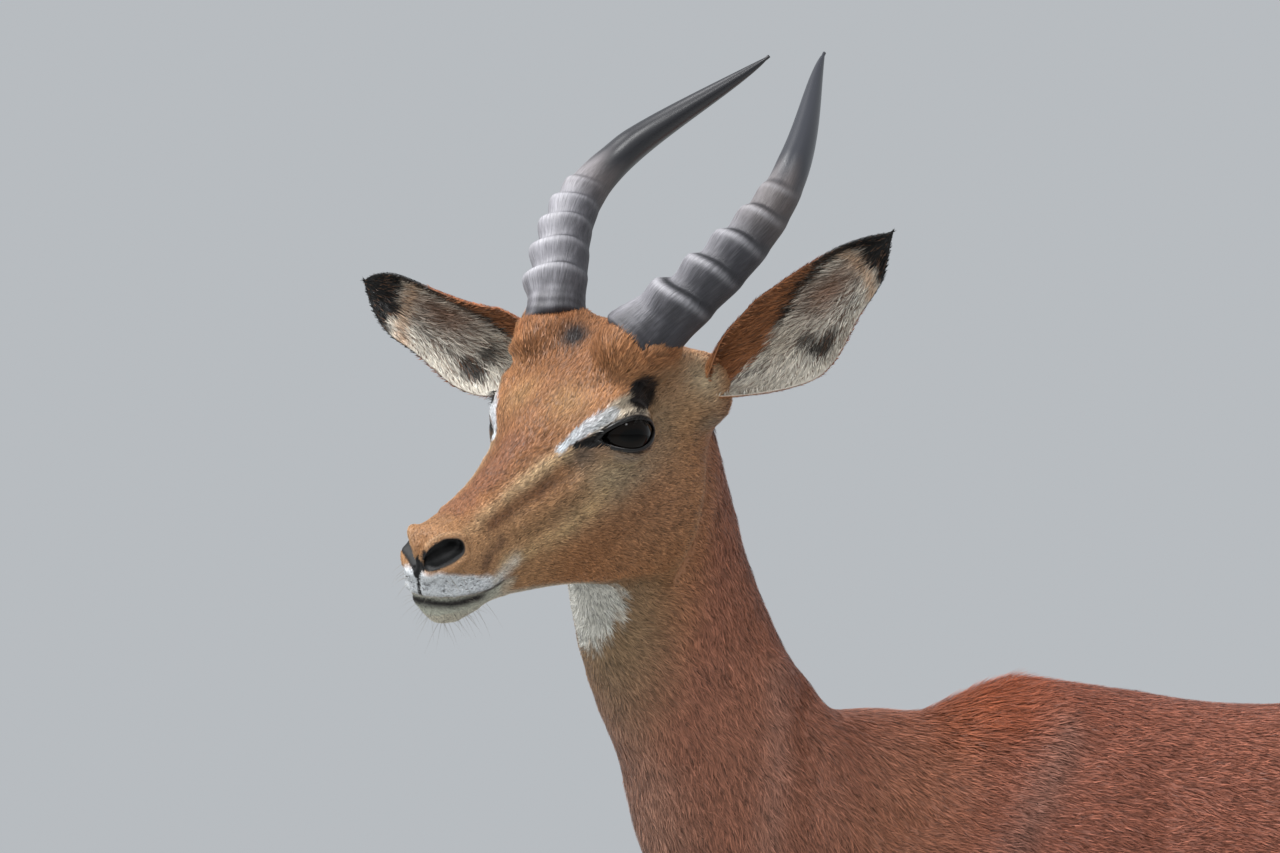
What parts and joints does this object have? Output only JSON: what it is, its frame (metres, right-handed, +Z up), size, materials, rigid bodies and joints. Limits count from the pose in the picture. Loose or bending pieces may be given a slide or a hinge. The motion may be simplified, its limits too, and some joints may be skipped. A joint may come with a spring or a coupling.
{
  "type": "impala antelope",
  "caption": "Life-size young male impala, standing still with its head turned left; ringed curved horns, cupped ears, cloven hooves on a level floor.",
  "frame": {"origin": "on the floor, under the middle of the whole model's box", "axes": "+Z up, the nose towards -X, the animal's left side towards -Y"},
  "size_m": [1.1816, 0.3018, 1.2703],
  "materials": {
    "coat": "short glossy hair over hide",
    "horn": "ringed horn, satin to polished at the tip",
    "hoof": "black hoof horn, satin",
    "eye": "wet and glossy"
  },
  "bodies": {
    "root": {"head": "coat", "neck": "coat", "trunk": "coat", "tail": "coat", "ear_left": "coat", "ear_right": "coat", "eye_left": "eye", "eye_right": "eye", "horn_left": "horn", "horn_right": "horn", "leg_front_left": "coat", "leg_front_right": "coat", "leg_hind_left": "coat", "leg_hind_right": "coat", "hoof_front_left_outer": "hoof", "hoof_front_left_inner": "hoof", "hoof_front_right_outer": "hoof", "hoof_front_right_inner": "hoof", "hoof_hind_left_outer": "hoof", "hoof_hind_left_inner": "hoof", "hoof_hind_right_outer": "hoof", "hoof_hind_right_inner": "hoof"}
  },
  "joints": []
}
